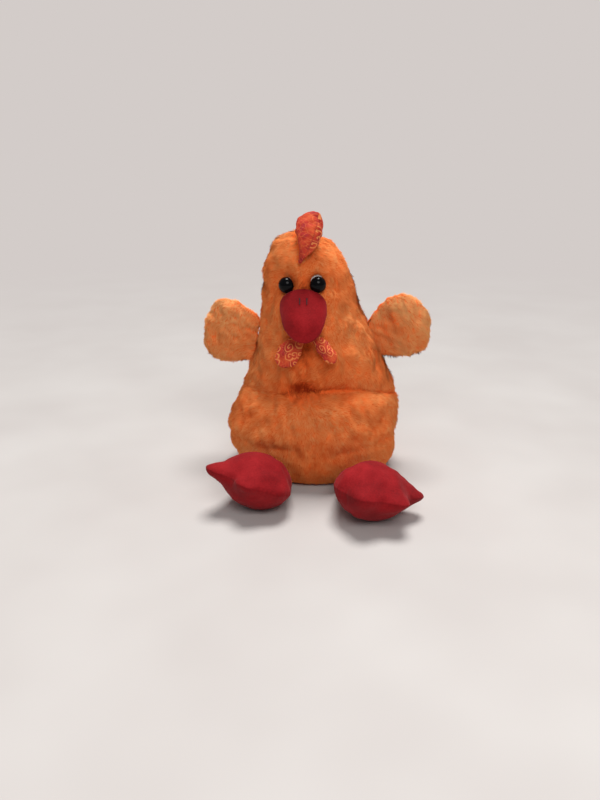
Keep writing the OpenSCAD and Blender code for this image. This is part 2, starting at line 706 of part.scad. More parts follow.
function wattle(side) = let (
    length = side == LEFT ? left_wattle_length : right_wattle_length,
    width = side == LEFT ? left_wattle_width : right_wattle_width,
    angle = side == LEFT ? left_wattle_angle : right_wattle_angle,
    a = face_a(wattle_level) + side * asin((wattle_root / 2 + seam_gap) / (cheek_width / 2)),
    v = row_at(wattle_level),
    n = normal(a, v),
    stand = 2.5 * seam_gap,
    fall = [sin(angle), 0, -cos(angle)],
    flat = unit(fall - n * (fall * n)),
    u = flat * cos(wattle_hang) + n * sin(wattle_hang),
    w = n * cos(wattle_hang) - flat * sin(wattle_hang),
    widest = length * WATTLE_WIDEST)
    [[skin(a, v) + n * stand, u, cross(w, u), w],
     paddle(length, wattle_root, width, widest), [widest, 0],
     wattle_thick / 2, wattle_thick / 2, widest, cotton_t];

module left_wattle_front() color(PRINT) cushion_panel(wattle(LEFT), 1);
module left_wattle_back() color(PRINT) cushion_panel(wattle(LEFT), -1);
module left_wattle_stuffing() color(FIBRE) cushion_stuffing(wattle(LEFT));
module right_wattle_front() color(PRINT) cushion_panel(wattle(RIGHT), 1);
module right_wattle_back() color(PRINT) cushion_panel(wattle(RIGHT), -1);
module right_wattle_stuffing() color(FIBRE) cushion_stuffing(wattle(RIGHT));

left_face_panel();
right_face_panel();
left_belly_panel();
right_belly_panel();
left_back_panel();
right_back_panel();
base_panel();
body_stuffing();
closing_stitches();
pellet_bag();
pellets();
left_eye();
right_eye();
left_eye_washer();
right_eye_washer();
beak_top_panel();
beak_under_panel();
beak_stuffing();
nostril_stitches();
comb_left_panel();
comb_right_panel();
comb_stuffing();
left_wattle_front();
left_wattle_back();
left_wattle_stuffing();
right_wattle_front();
right_wattle_back();
right_wattle_stuffing();
left_wing_front();
left_wing_back();
left_wing_stuffing();
right_wing_front();
right_wing_back();
right_wing_stuffing();
left_foot_top();
left_foot_sole();
left_foot_stuffing();
right_foot_top();
right_foot_sole();
right_foot_stuffing();
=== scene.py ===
"""Sitting plush chicken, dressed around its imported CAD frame. Lengths are in millimetres until new_mesh()."""

import json
import math

import bpy
import numpy as np
from mathutils import Matrix, Vector
from mathutils.bvhtree import BVHTree
from mathutils.kdtree import KDTree


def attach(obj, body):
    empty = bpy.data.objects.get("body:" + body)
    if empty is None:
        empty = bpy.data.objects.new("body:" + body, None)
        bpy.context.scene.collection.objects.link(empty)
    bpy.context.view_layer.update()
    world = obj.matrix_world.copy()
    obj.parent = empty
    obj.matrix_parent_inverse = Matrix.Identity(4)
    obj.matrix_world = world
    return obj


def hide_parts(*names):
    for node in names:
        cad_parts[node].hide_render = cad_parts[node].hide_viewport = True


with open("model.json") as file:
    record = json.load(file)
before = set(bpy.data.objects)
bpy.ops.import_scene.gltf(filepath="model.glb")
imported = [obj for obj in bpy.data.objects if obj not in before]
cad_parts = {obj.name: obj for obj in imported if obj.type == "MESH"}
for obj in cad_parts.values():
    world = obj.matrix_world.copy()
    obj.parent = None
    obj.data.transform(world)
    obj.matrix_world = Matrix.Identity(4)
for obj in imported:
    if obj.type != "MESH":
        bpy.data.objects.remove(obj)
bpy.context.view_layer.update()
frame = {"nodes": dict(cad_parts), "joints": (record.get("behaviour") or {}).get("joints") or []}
NODES = frame["nodes"]
JOINTS = {j["child"]: j for j in frame["joints"]}
MM = 0.001
_, Y, Z = np.eye(3)


# ---- helpers ---------------------------------------------------------------------------------

def unit(v):
    return v / np.maximum(np.linalg.norm(v, axis=-1, keepdims=True), 1e-9)


def ease(t):
    t = np.clip(t, 0, 1)
    return t * t * (3 - 2 * t)


def bell(d, s):
    return np.exp(-((d / s) ** 2))


def waves(p, length, seed, count=18):
    """Smooth noise of about unit size at points p, with features about length across."""
    r = np.random.default_rng(seed)
    k = unit(r.normal(size=(count, 3))) * (2 * math.pi / length) * r.uniform(0.6, 1.4, (count, 1))
    phase = r.uniform(0, 2 * math.pi, count)
    total = np.zeros(p.shape[:-1])
    for i in range(count):
        total += np.sin(p @ k[i] + phase[i])
    return total / math.sqrt(count / 2)


def blur(grid, along, around):
    """Smooths a grid whose rows run from pole to pole and whose columns close on themselves."""
    for _ in range(around):
        grid = (np.roll(grid, 1, 1) + 2 * grid + np.roll(grid, -1, 1)) / 4
    for _ in range(along):
        wide = np.concatenate([grid[:1], grid, grid[-1:]])
        grid = (wide[:-2] + 2 * wide[1:-1] + wide[2:]) / 4
    return grid


def grid_normals(p):
    around = np.roll(p, -1, 1) - np.roll(p, 1, 1)
    wide = np.concatenate([p[:1], p, p[-1:]])
    along = wide[2:] - wide[:-2]
    n = unit(np.cross(around, along))
    for row, near in ((0, 1), (-1, -2)):
        n[row] = unit(n[near].mean(0))
    return n


def new_mesh(name, points, faces, smooth=True, normals=None, **fields):
    """A mesh object from points in millimetres. fields are float attributes of its points."""
    mesh = bpy.data.meshes.new(name)
    faces = [np.asarray(f, np.int32) for f in (faces if isinstance(faces, list) else [faces])]
    corners = np.concatenate([f.ravel() for f in faces])
    sizes = np.concatenate([np.full(len(f), f.shape[1]) for f in faces])
    mesh.vertices.add(len(points))
    mesh.vertices.foreach_set("co", (np.asarray(points) * MM).astype(np.float32).ravel())
    mesh.loops.add(len(corners))
    mesh.loops.foreach_set("vertex_index", corners)
    mesh.polygons.add(len(sizes))
    starts = np.concatenate([[0], np.cumsum(sizes)[:-1]]).astype(np.int32)
    mesh.polygons.foreach_set("loop_start", starts)
    mesh.update(calc_edges=True)
    mesh.polygons.foreach_set("use_smooth", np.full(len(sizes), smooth))
    for key, values in fields.items():
        values = np.asarray(values, np.float32)
        kind = "FLOAT" if values.ndim == 1 else "FLOAT_VECTOR"
        item = "value" if values.ndim == 1 else "vector"
        mesh.attributes.new(key, kind, "POINT").data.foreach_set(item, values.ravel())
    if normals is not None:
        mesh.normals_split_custom_set_from_vertices(np.asarray(normals, np.float32))
    piece = bpy.data.objects.new(name, mesh)
    bpy.context.scene.collection.objects.link(piece)
    return piece


def grid_faces(rows, columns):
    """Faces of a closed form: a pole, rows of points, a pole. Points are numbered in that order."""
    j = np.arange(columns)
    k = (j + 1) % columns
    first = 1 + np.arange(rows - 1)[:, None] * columns
    quads = np.stack([first + j, first + k, first + columns + k, first + columns + j], -1)
    last = 1 + (rows - 1) * columns
    low = np.stack([np.zeros_like(j), 1 + k, 1 + j], -1)
    high = np.stack([np.full_like(j, last + columns), last + j, last + k], -1)
    return [quads.reshape(-1, 4), low, high]


def pack_rows(grid):
    """The points of a grid with its two pole rows made single points."""
    return np.concatenate([grid[:1, 0], grid[1:-1].reshape(-1, *grid.shape[2:]), grid[-1:, 0]])


def closed_form(name, p, **fields):
    fields = {key: pack_rows(value) for key, value in fields.items()}
    return new_mesh(name, pack_rows(p), grid_faces(len(p) - 2, p.shape[1]), **fields)


def tree_of(*names):
    """Search tree over CAD nodes, in millimetres."""
    points, faces = [], []
    for name in names:
        mesh = NODES[name].data
        base = len(points)
        points += [v.co / MM for v in mesh.vertices]
        faces += [[base + i for i in f.vertices] for f in mesh.polygons]
    return BVHTree.FromPolygons(points, faces)


def points_of(*names):
    sets = []
    for name in names:
        co = np.zeros(len(NODES[name].data.vertices) * 3)
        NODES[name].data.vertices.foreach_get("co", co)
        sets.append(co.reshape(-1, 3) / MM)
    return np.concatenate(sets)


def box(*names):
    p = points_of(*names)
    return p.min(0), p.max(0)


# ---- materials -------------------------------------------------------------------------------

class Nodes:
    """Short ways to write a material's nodes."""

    def __init__(self, name):
        self.mat = bpy.data.materials.new(name)
        self.mat.use_nodes = True
        self.tree = self.mat.node_tree
        self.shader = self.tree.nodes["Principled BSDF"]

    def node(self, kind, _values=None, **settings):
        made = self.tree.nodes.new("ShaderNode" + kind)
        for key, value in settings.items():
            setattr(made, key, value)
        for key, value in (_values or {}).items():
            self.put(made.inputs[key], value)
        return made

    def put(self, socket, value):
        if isinstance(value, bpy.types.NodeSocket):
            self.tree.links.new(value, socket)
        elif isinstance(value, (tuple, list)) and socket.type == "RGBA" and len(value) == 3:
            socket.default_value = (*value, 1)
        else:
            socket.default_value = value

    def set(self, **values):
        for key, value in values.items():
            self.put(self.shader.inputs[key.replace("_", " ")], value)

    def math(self, operation, a, b=0.0, c=0.0):
        made = self.node("Math", operation=operation)
        for socket, value in zip(made.inputs, (a, b, c)):
            self.put(socket, value)
        return made.outputs[0]

    def vector(self, operation, a, b=(0, 0, 0)):
        made = self.node("VectorMath", operation=operation)
        self.put(made.inputs[0], a)
        self.put(made.inputs[1], b)
        return made.outputs["Value" if operation in ("LENGTH", "DOT_PRODUCT") else "Vector"]

    def field(self, name, part="Fac"):
        return self.node("Attribute", attribute_name=name).outputs[part]

    def place(self):
        return self.node("TexCoord").outputs["Object"]

    def noise(self, scale, detail=2.0, vector=None, roughness=0.5):
        return self.node("TexNoise", {"Vector": vector or self.place(), "Scale": scale,
                                      "Detail": detail, "Roughness": roughness}).outputs["Fac"]

    def ramp(self, value, *stops):
        made = self.node("ValToRGB", {"Fac": value})
        band = made.color_ramp
        while len(band.elements) < len(stops):
            band.elements.new(0.5)
        for element, (at, colour) in zip(band.elements, stops):
            element.position = at
            element.color = (*colour, 1)
        return made.outputs["Color"]

    def range(self, value, a, b, low=0.0, high=1.0):
        return self.node("MapRange", {"Value": value, "From Min": a, "From Max": b,
                                      "To Min": low, "To Max": high}).outputs["Result"]

    def mix(self, factor, a, b, blend="MIX"):
        made = self.node("Mix", data_type="RGBA", blend_type=blend)
        self.put(made.inputs[0], factor)
        self.put(made.inputs[6], a)
        self.put(made.inputs[7], b)
        return made.outputs[2]

    def bump(self, height, distance, strength=1.0):
        return self.node("Bump", {"Height": height, "Distance": distance * MM,
                                  "Strength": strength}).outputs["Normal"]


def rgb(r, g, b):
    """Linear colour from 0-255 values."""
    return tuple(c / 12.92 if c <= 0.04045 else ((c + 0.055) / 1.055) ** 2.4
                 for c in (r / 255, g / 255, b / 255))


def pile_material():
    """Strands of the orange pile: painted shade darkens each strand towards its root; the tone varies tuft by
    tuft and carries painted shade and light from its field.
    """
    m = Nodes("orange_pile")
    tint = m.math("ADD", m.field("tint"), m.range(m.noise(28, 3), 0.3, 0.7, -0.04, 0.04))
    colour = m.ramp(tint, (0.0, rgb(172, 56, 22)), (0.3, rgb(246, 112, 50)),
                    (0.6, rgb(255, 146, 80)), (1.0, rgb(255, 178, 112)))
    # Painted shade: each strand is mixed towards a darker colour near its root.
    root = m.mix(0.5, rgb(244, 100, 40), colour)
    colour = m.mix(m.range(m.field("along"), 0.0, 0.6), root, colour)
    m.set(Base_Color=colour, Roughness=0.85, Specular_IOR_Level=0.06)
    return m.mat


def cloth_material():
    """Knitted backing of the pile, seen only between the strands."""
    m = Nodes("orange_backing")
    colour = m.ramp(m.noise(60, 4), (0.3, rgb(236, 96, 38)), (0.7, rgb(252, 118, 54)))
    knit = m.node("TexVoronoi", {"Vector": m.place(), "Scale": 1400.0}).outputs["Distance"]
    m.set(Base_Color=colour, Roughness=0.95, Specular_IOR_Level=0.1,
          Normal=m.bump(knit, 0.3, 0.8))
    return m.mat


def velour_material(name="red_velour", shift=1.0):
    """Short-napped crimson velour with brushed lighter patches and a darker seam."""
    m = Nodes(name)
    patches = m.noise(55, 3)
    nap = m.noise(900, 3, roughness=0.7)
    level = m.math("ADD", m.range(patches, 0.3, 0.7, -0.25, 0.25), m.range(nap, 0.3, 0.7, 0.3, 0.7))
    colour = m.ramp(level, (0.0, rgb(104 * shift, 12, 17)), (0.5, rgb(136 * shift, 18, 24)),
                    (1.0, rgb(160 * shift, 30, 35)))
    colour = m.mix(m.field("seam"), colour, rgb(80, 8, 12))
    height = m.math("ADD", nap, m.math("MULTIPLY", m.noise(260, 2), 1.5))
    m.set(Base_Color=colour, Roughness=0.8, Specular_IOR_Level=0.12, Sheen_Weight=0.12,
          Sheen_Roughness=0.45, Sheen_Tint=(1.0, 0.35, 0.35, 1), Normal=m.bump(height, 0.25, 0.6))
    return m.mat


def print_material():
    """Cotton printed with plain curls on a mottled red-orange ground."""
    m = Nodes("printed_cotton")
    flat = m.field("flat", "Vector")
    wobble = m.node("TexNoise", {"Vector": flat, "Scale": 160.0, "Detail": 1.0}).outputs["Color"]
    flat = m.vector("ADD", flat, m.vector("MULTIPLY", m.vector("SUBTRACT", wobble, (0.5, 0.5, 0.5)),
                                          (0.003, 0.003, 0.0)))
    cells = m.node("TexVoronoi", {"Vector": flat, "Scale": 125.0, "Randomness": 0.75},
                   voronoi_dimensions="2D")
    middle = cells.outputs["Position"]
    offset = m.vector("SUBTRACT", flat, middle)
    split = m.node("SeparateXYZ", {"Vector": offset})
    angle = m.math("ARCTAN2", split.outputs[1], split.outputs[0])
    reach = m.vector("LENGTH", offset)
    turn = m.math("ADD", m.math("MULTIPLY", reach, 2 * math.pi / 0.0026), angle)
    curl = m.math("SINE", turn)
    line = m.range(curl, 0.25, 0.7)
    line = m.math("MULTIPLY", line, m.range(reach, 0.0036, 0.0042, 1.0, 0.0))
    small = m.node("TexVoronoi", {"Vector": flat, "Scale": 420.0}, voronoi_dimensions="2D",
                   feature="DISTANCE_TO_EDGE").outputs["Distance"]
    veins = m.math("MULTIPLY", m.range(small, 0.06, 0.02), m.range(reach, 0.0034, 0.0040))
    ground = m.ramp(m.noise(130, 3), (0.32, rgb(160, 34, 36)), (0.46, rgb(194, 52, 34)),
                    (0.62, rgb(212, 76, 38)), (0.8, rgb(224, 100, 50)))
    colour = m.mix(m.math("MULTIPLY", line, 0.75), ground, rgb(244, 152, 84))
    colour = m.mix(m.math("MULTIPLY", veins, 0.75), colour, rgb(228, 116, 60))
    colour = m.mix(m.field("seam"), colour, rgb(120, 26, 30))
    weave = m.node("TexWave", {"Vector": m.place(), "Scale": 900.0, "Distortion": 1.0}).outputs["Fac"]
    m.set(Base_Color=colour, Roughness=0.72, Specular_IOR_Level=0.3,
          Normal=m.bump(m.math("ADD", weave, m.noise(500, 2)), 0.12, 0.5))
    return m.mat


def thread_material(name, light, dark):
    m = Nodes(name)
    twist = m.node("TexWave", {"Vector": m.place(), "Scale": 1200.0, "Distortion": 2.0}).outputs["Fac"]
    m.set(Base_Color=m.ramp(twist, (0.2, dark), (0.8, light)), Roughness=0.6,
          Normal=m.bump(twist, 0.1, 0.6))
    return m.mat


def plastic_material(name, dark, light, roughness, speck=700.0, shine=0.5):
    """Moulded plastic with faint flow marks and a finely uneven gloss."""
    m = Nodes(name)
    grain = m.noise(speck, 3)
    m.set(Base_Color=m.ramp(m.noise(90, 3), (0.3, dark), (0.7, light)),
          Roughness=m.range(grain, 0.3, 0.7, roughness * 0.8, roughness * 1.3),
          Specular_IOR_Level=shine,
          Normal=m.bump(grain, 0.02, 0.15))
    return m.mat


PILE = pile_material()
BACKING = cloth_material()
VELOUR = velour_material()
BEAK_VELOUR = velour_material("beak_velour", 1.04)
PRINT = print_material()
ORANGE_THREAD = thread_material("orange_thread", rgb(236, 124, 44), rgb(180, 74, 20))
DARK_THREAD = thread_material("dark_thread", rgb(60, 10, 16), rgb(24, 4, 8))
BLACK = plastic_material("black_plastic", rgb(4, 5, 7), rgb(8, 8, 10), 0.05, shine=0.1)
WASHER = plastic_material("washer_plastic", rgb(214, 214, 210), rgb(230, 230, 228), 0.4)
PELLET = plastic_material("pellet_plastic", rgb(206, 210, 214), rgb(222, 225, 228), 0.35)
BAG = plastic_material("bag_cloth", rgb(218, 212, 196), rgb(232, 227, 214), 0.8, 1500.0)


def dress(piece, material, body, slot, *nodes):
    piece.data.materials.clear()
    piece.data.materials.append(material)
    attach(piece, body)
    if nodes:
        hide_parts(*nodes)
    return piece


# ---- the body's form -------------------------------------------------------------------------

PANELS = ["left_face_panel", "right_face_panel", "left_belly_panel", "right_belly_panel",
          "left_back_panel", "right_back_panel", "base_panel"]
PILE_DEPTH = 1.5         # how far the pile stands off its backing
STRANDS = 3.5            # strands to a square millimetre
BODY_COLUMNS = 300
LOW = 34.0               # height of the lower fan of rays
HIGH = 152.0             # and of the upper one
CAD_TREE = tree_of(*PANELS)


def outer_hit(origin, direction, tree=None, reach=160.0):
    """Outermost point of the CAD panels from origin along direction."""
    best = None
    for turn in (-0.012, 0.0, 0.012):
        d = direction + turn * np.array([-direction[1], direction[0], 0.0])
        start = origin + reach * d
        hit = (tree or CAD_TREE).ray_cast(Vector(start), Vector(-d))[0]
        if hit is not None:
            length = float((np.array(hit) - origin) @ direction)
            if length > 5 and (best is None or length > best):
                best = length
    return None if best is None else origin + best * direction


def spine(z):
    left = CAD_TREE.ray_cast(Vector((160, 1, z)), Vector((-1, 0, 0)))[0]
    right = CAD_TREE.ray_cast(Vector((-160, 1, z)), Vector((1, 0, 0)))[0]
    return np.array([(left[0] + right[0]) / 2, 0.0, z])


def body_grid():
    rows = []
    low, high = spine(LOW), spine(HIGH)
    fans = [(low, e) for e in np.radians(np.concatenate([np.linspace(-90, -50, 26),
                                                          np.linspace(-49, -1, 34)]))]
    fans += [(spine(z), 0.0) for z in np.linspace(LOW, HIGH, 92)]
    fans += [(high, e) for e in np.radians(np.linspace(1.8, 90, 44))]
    azimuths = np.radians(np.arange(BODY_COLUMNS) * 360 / BODY_COLUMNS)
    for origin, e in fans:
        row = []
        for a in azimuths:
            d = np.array([math.sin(a) * math.cos(e), -math.cos(a) * math.cos(e), math.sin(e)])
            row.append(outer_hit(origin, d))
        known = [p for p in row if p is not None] or rows[-1]
        rows.append([p if p is not None else np.mean(known, 0) for p in row])
    return np.array(rows)


BODY = body_grid()
BODY = blur(BODY, 14, 40)
BODY[0], BODY[-1] = BODY[0].mean(0), BODY[-1].mean(0)
AZIMUTH = (np.arange(BODY_COLUMNS) * 360 / BODY_COLUMNS + 180) % 360 - 180
EYES = {side: np.mean(box(side + "_eye"), 0) for side in ("left", "right")}
BEAK_LOW, BEAK_HIGH = box("beak_top_panel", "beak_under_panel")
WAIST = box("left_belly_panel")[1][2]
HOLLOW = np.array([-12.4, -50.0, WAIST - 1.5])
CREASE_A = np.array([-180, -100, -88, -70, -49, -25, -10, 15, 41, 62, 84, 100, 180.0])
CREASE_Z = WAIST + np.array([-9, -9, -8, -6.5, -6.5, -3.3, -1, 0, -1.8, -7.5, -15, -16, -9.0])

CREASE_FADE_A = [-100, -25, 5, 30]
CREASE_FADE = [0.45, 0.45, 0.9, 1.0]        # the crease is fainter on the right


def body_details(p, n):
    x, y, z = p[..., 0], p[..., 1], p[..., 2]
    a = np.broadcast_to(AZIMUTH, x.shape)
    front = ease((100 - np.abs(a)) / 22)
    d = z - np.interp(a, CREASE_A, CREASE_Z)
    front = front * np.interp(a, CREASE_FADE_A, CREASE_FADE)
    move = -2.0 * bell(d, 1.2) * front - 1.0 * bell(d, 4.5) * front
    move += (0.9 * bell(d + 8, 5.0) + 0.5 * bell(d - 6.5, 4.5)) * front
    ahead = np.abs(a) < 90
    move -= 9.5 * bell(x - HOLLOW[0], 10.0) * bell(z - HOLLOW[2], 6.5) * ahead
    move -= 2.6 * bell(x - 24, 9.0) * bell(z - HOLLOW[2] + 4, 5.5) * ahead
    below = ease((WAIST - z) / 6)
    above = ease((z - WAIST) / 6)
    middle = x + 2.8 - 9.6 * ease((z - 33) / 45) * 0.2
    move -= (0.9 * bell(middle, 1.5) + 1.2 * bell(middle, 7.0)) * ahead * below * ease(z / 20)
    face = x + 7.5
    move -= 0.7 * bell(face, 1.4) * ahead * above * (z < 120)
    for seam_a in (-90, 90):
        move -= (1.0 * bell(a - seam_a, 1.5) + 0.5 * bell(a - seam_a, 6)) * ease(z / 10)
    move -= (1.1 * bell(np.abs(a) - 180, 1.4) + 0.5 * bell(np.abs(a) - 180, 6)) * ease(z / 10)
    for eye in EYES.values():
        r = np.linalg.norm(p - eye, axis=-1)
        move -= 2.0 * bell(r, 8.0)
        move += 0.8 * bell(np.linalg.norm(p - eye - [0, 0, 12], axis=-1), 6.0)
    chin = np.array([(BEAK_LOW[0] + BEAK_HIGH[0]) / 2, y.min() * 0.6, BEAK_LOW[2] - 4])
    move -= 3.0 * bell(x - chin[0], 9.0) * bell(z - chin[2], 8.0) * ahead
    move += 0.9 * waves(p, 46, 3) * ease(z / 25) + 0.45 * waves(p, 17, 4) * ease(z / 15)
    move += 0.5 * waves(p * [1, 1, 0.6], 9, 5) * ease(z / 15) * ease((z - 20) / 20)
    for foot in ("left", "right"):
        low, high = box(foot + "_foot_top")
        seat = np.array([(low[0] + high[0]) / 2, high[1], 0])
        wide = (x - seat[0]) / 34
        move -= 1.6 * bell(z - 33 - 3 * wide, 3.2) * bell(wide, 0.9) * ahead
    return p + n * move[..., None]


BODY_N = grid_normals(BODY)
BODY = BODY - BODY_N * PILE_DEPTH * ease(BODY[..., 2:] / 6)
BODY = body_details(BODY, BODY_N)
BODY[..., 2] = np.maximum(BODY[..., 2], 0.15)
BODY[0], BODY[-1] = BODY[0].mean(0), BODY[-1].mean(0)
BODY_N = grid_normals(BODY)
body_cloth = closed_form("body_cloth", BODY)
dress(body_cloth, BACKING, "body", "orange_plush", "base_panel", "body_stuffing")


# ---- stuffed limbs ---------------------------------------------------------------------------

class Limb:
    """Local frame of a CAD cushion: U away from its hinge, V along it, W from sole to top."""

    def __init__(self, body, top, sole):
        joint = JOINTS[body]
        self.body = body
        self.nodes = (top, sole)
        self.o = np.array(joint["pos_m"]) / MM
        axis = unit(np.array(joint["axis"], float))
        a, b = points_of(top), points_of(sole)
        w = a.mean(0) - b.mean(0)
        self.w = unit(w - axis * (w @ axis))
        u = np.cross(axis, self.w)
        middle = (a.mean(0) + b.mean(0)) / 2 - self.o
        self.u = unit(u * np.sign(u @ middle))
        self.v = np.cross(self.w, self.u)
        self.trees = (tree_of(top), tree_of(sole))
        local = self.local(np.concatenate([a, b]))
        self.low, self.high = local.min(0), local.max(0)

    def local(self, p):
        return (p - self.o) @ np.stack([self.u, self.v, self.w], -1)

    def world(self, q):
        return self.o + q @ np.stack([self.u, self.v, self.w])

    def outline(self, middle, columns):
        """Distance from middle to the seam's line, for each direction round it."""
        reach = []
        for k in range(columns):
            t = 2 * math.pi * k / columns
            d = math.cos(t) * self.u + math.sin(t) * self.v
            found = []
            for tree, side in zip(self.trees, (0.5, -0.5)):
                start = self.world(np.array([middle[0], middle[1], side])) + 90 * d
                hit = tree.ray_cast(Vector(start), Vector(-d))[0]
                if hit is not None:
                    found.append(90 - (Vector(start) - hit).length)
            reach.append(max(found) if found else np.nan)
        reach = np.array(reach)
        bad = np.isnan(reach)
        at = np.arange(columns)
        reach[bad] = np.interp(at[bad], at[~bad], reach[~bad], period=columns)
        return reach


def circular(values, times):
    for _ in range(times):
        values = (np.roll(values, 1) + 2 * values + np.roll(values, -1)) / 4
    return values


def opened(values, reach):
    """Values with every peak narrower than reach columns cut off."""
    low = np.min([np.roll(values, k) for k in range(-reach, reach + 1)], 0)
    return np.max([np.roll(low, k) for k in range(-reach, reach + 1)], 0)


def cushion(limb, middle, rows=28, columns=168, crest=1.2, fade=20.0, thin=0.3, inset=0.0,
            toes=()):
    """Grid of local points over a stuffed cushion, with its (theta, phi) and seam closeness."""
    edge = circular(limb.outline(middle, columns), 6) - inset
    pad = circular(opened(edge, columns // 14), 10) if toes else edge
    pad = np.minimum(pad, edge)
    phi = np.radians(np.linspace(-90, 90, 2 * rows + 1))[:, None]
    theta = np.linspace(0, 2 * math.pi, columns, endpoint=False)[None, :]
    r = pad[None, :] * np.cos(phi)
    for toe, length in toes:
        off = (theta - math.radians(toe) + math.pi) % (2 * math.pi) - math.pi
        nub = bell(off, math.radians(18)) * bell(phi, math.radians(25))
        r = r + length * (0.5 * nub + 0.5 * (1 - np.exp(-2.2 * nub * nub)) / 0.889)
    u = middle[0] + r * np.cos(theta)
    v = middle[1] + r * np.sin(theta)
    top, sole = limb.high[2], -limb.low[2]
    swell = thin + (1 - thin) * ease(u / fade)
    w = np.abs(np.sin(phi)) ** crest * np.where(phi > 0, top - inset, -(sole - inset)) * swell
    grid = np.stack([u, v, w], -1)
    seam = np.broadcast_to(bell(phi, math.radians(3.0)), u.shape)
    return grid, theta + 0 * phi, phi + 0 * theta, seam


# ---- pile --------------------------------------------------------------------------------------

def grow(p, n, flow, length, tint, density, seed, tilt=17.0, width=0.4, pull=0.3, wild=0.12):
    """Strands over a grid: roots, directions and tips, gathered into small tufts."""
    rng = np.random.default_rng(seed)
    a, b = p[:-1], p[1:]
    c, d = np.roll(a, -1, 1), np.roll(b, -1, 1)
    area = 0.5 * np.linalg.norm(np.cross(d - a, b - c), axis=-1)
    want = area * density
    count = np.floor(want + rng.random(area.shape)).astype(int)
    i, j = np.indices(area.shape)
    i, j = np.repeat(i.ravel(), count.ravel()), np.repeat(j.ravel(), count.ravel())
    s, t = rng.random((2, len(i)))
    j2 = (j + 1) % p.shape[1]

    def at(grid):
        shape = (slice(None),) + (None,) * (grid.ndim - 2)
        return ((1 - s)[shape] * ((1 - t)[shape] * grid[i, j] + t[shape] * grid[i + 1, j])
                + s[shape] * ((1 - t)[shape] * grid[i, j2] + t[shape] * grid[i + 1, j2]))

    root, normal, way = at(p), unit(at(n)), at(flow)
    way = unit(way - normal * (way * normal).sum(-1, keepdims=True))
    size, shade = at(length), at(tint)
    total = len(root)
    tufts = rng.choice(total, max(8, total // 14), replace=False)
    tree = KDTree(len(tufts))
    for k, index in enumerate(tufts):
        tree.insert(root[index], k)
    tree.balance()
    mine = tufts[np.array([tree.find(q)[1] for q in root])]
    side = np.cross(normal, way)
    twist = rng.normal(0, wild, total)
    way = unit(way + side * twist[:, None] * 0.5 + side * twist[mine][:, None])
    lift = np.radians(tilt) * np.clip(1 + 0.2 * rng.normal(size=total)[mine]
                                      + 0.18 * rng.normal(size=total), 0.35, 1.9)
    ray = way * np.cos(lift)[:, None] + normal * np.sin(lift)[:, None]
    size = size * (1 + 0.16 * rng.normal(size=total)[mine]) * rng.uniform(0.8, 1.1, total)
    size = np.maximum(size, 0.6)
    tip = root + ray * size[:, None]
    gather = pull * rng.uniform(0.4, 1.0, total)[:, None]
    close = bell(np.linalg.norm(root - root[mine], axis=-1), 4.0)[:, None]
    tip = tip + (tip[mine] - tip) * gather * close
    tip[:, 2] = np.maximum(tip[:, 2], 0.3)
    shade = shade + 0.07 * rng.normal(size=total)[mine] + 0.05 * rng.normal(size=total)
    return {"root": root, "tip": tip, "normal": normal, "row": i, "column": j,
            "tint": np.clip(shade, 0, 1), "width": width * rng.uniform(0.75, 1.2, total)}


def strand_mesh(name, fur, keep):
    """Each strand is a slim closed spike of four faces."""
    fur = {key: value[keep] for key, value in fur.items()}
    ray = fur["tip"] - fur["root"]
    normal = fur["normal"]
    side = unit(np.cross(normal, ray))
    up = unit(np.cross(ray, side))
    half = fur["width"][:, None] / 2
    base = fur["root"] - normal * 0.3
    a, b, c, tip = base - side * half, base + side * half, base + up * half * 0.7, fur["tip"]
    total = len(a)
    points = np.stack([a, b, c, tip], 1).reshape(-1, 3)
    first = np.arange(total)[:, None, None] * 4
    faces = first + np.array([[0, 2, 1], [0, 3, 2], [2, 3, 1], [0, 1, 3]])
    leaning = unit(normal + up * 0.12)
    normals = np.stack([leaning, leaning, leaning, leaning], 1).reshape(-1, 3)
    tint = np.repeat(fur["tint"], 4)
    along = np.tile([0.0, 0.0, 0.15, 1.0], total)
    piece = new_mesh(name, points, faces.reshape(-1, 3), normals=normals, tint=tint, along=along)
    strand_cells(piece.data, total)
    return piece


def strand_cells(mesh, total):
    """Bake map: one small cell for each strand."""
    across = math.ceil(math.sqrt(total))
    cell = np.arange(total)
    corner = np.stack([cell % across, cell // across], -1) / across
    local = np.array([[0.1, 0.1], [0.5, 0.1], [0.3, 0.3], [0.3, 0.9]])
    uv = (corner[:, None] + local[None] / across).reshape(-1, 2)
    loops = np.zeros(len(mesh.loops), np.int32)
    mesh.loops.foreach_get("vertex_index", loops)
    mesh.uv_layers.new(name="OFBake").data.foreach_set("uv", uv[loops].astype(np.float32).ravel())


GUARDS = []


def guard(names, reach):
    """Strands neither start in nor end in these CAD nodes."""
    low, high = box(*names)
    GUARDS.append((tree_of(*names), low - reach, high + reach, reach))


def clear_of(fur):
    """True for each strand that no guarded node holds."""
    keep = np.ones(len(fur["root"]), bool)
    for tree, low, high, reach in GUARDS:
        for key, room in (("root", reach), ("tip", 0.2)):
            p = fur[key]
            near = np.flatnonzero(((p > low) & (p < high)).all(-1) & keep)
            for k in near:
                spot, normal, _, distance = tree.find_nearest(Vector(p[k]))
                inside = (Vector(p[k]) - spot).dot(normal) < 0
                if distance < room or (inside and distance < 8):
                    keep[k] = False
    return keep


guard(["left_eye"], 0.5)
guard(["right_eye"], 0.5)
guard(["beak_top_panel", "beak_under_panel"], 0.3)
guard(["comb_left_panel", "comb_right_panel"], 0.3)


